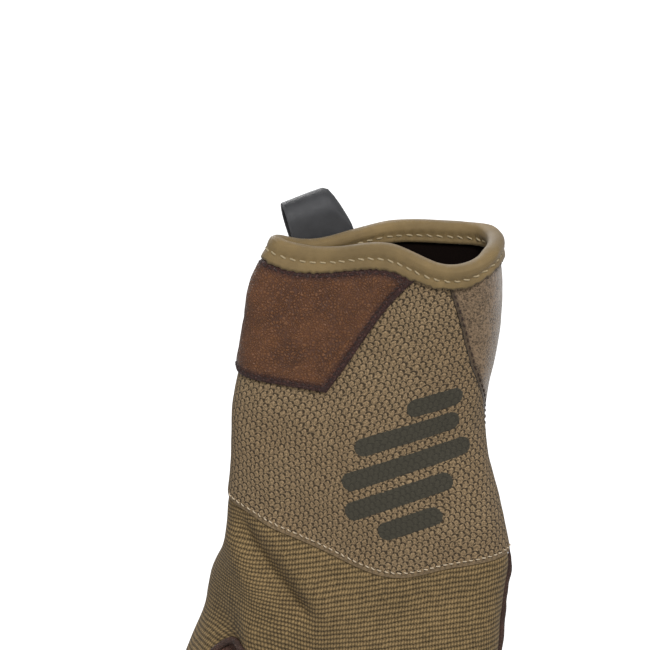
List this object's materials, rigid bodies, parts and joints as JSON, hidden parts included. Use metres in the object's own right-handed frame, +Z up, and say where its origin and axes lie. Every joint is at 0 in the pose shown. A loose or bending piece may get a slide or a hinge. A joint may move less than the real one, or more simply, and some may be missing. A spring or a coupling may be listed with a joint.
{
  "type": "tactical glove",
  "caption": "Left-hand tactical glove with a knit back, mesh cuff, leather palm and wrist tab, hung fingers down from its cuff loop.",
  "frame": {"origin": "crown of the hang loop's eye, where a hook bears", "axes": "+Z up, fingers point down; +X towards the little-finger side; -Y is the side the back of the hand faces; +Y the palm side"},
  "size_m": [0.1116, 0.0438, 0.2541],
  "materials": {
    "ribbed_knit": "matt ribbed stretch knit, olive tan",
    "spacer_mesh": "matt spacer mesh, tan, with a dark olive print",
    "palm_leather": "grained brown leather, satin",
    "tab_leather": "pebbled rust-brown leather with dark burnished edges, satin",
    "heel_suede": "napped suede, tan",
    "binding_tape": "smooth folded binding, khaki, cream top-stitch",
    "loop_rubber": "smooth charcoal rubbered webbing, satin"
  },
  "bodies": {
    "root": {"hand_back": "ribbed_knit", "palm": "palm_leather", "thumb_front": "palm_leather", "thumb_web": "palm_leather", "mesh_cuff": "spacer_mesh", "palm_heel": "heel_suede", "wrist_tab": "tab_leather", "rim_binding": "binding_tape", "hang_loop": "loop_rubber"}
  },
  "joints": []
}
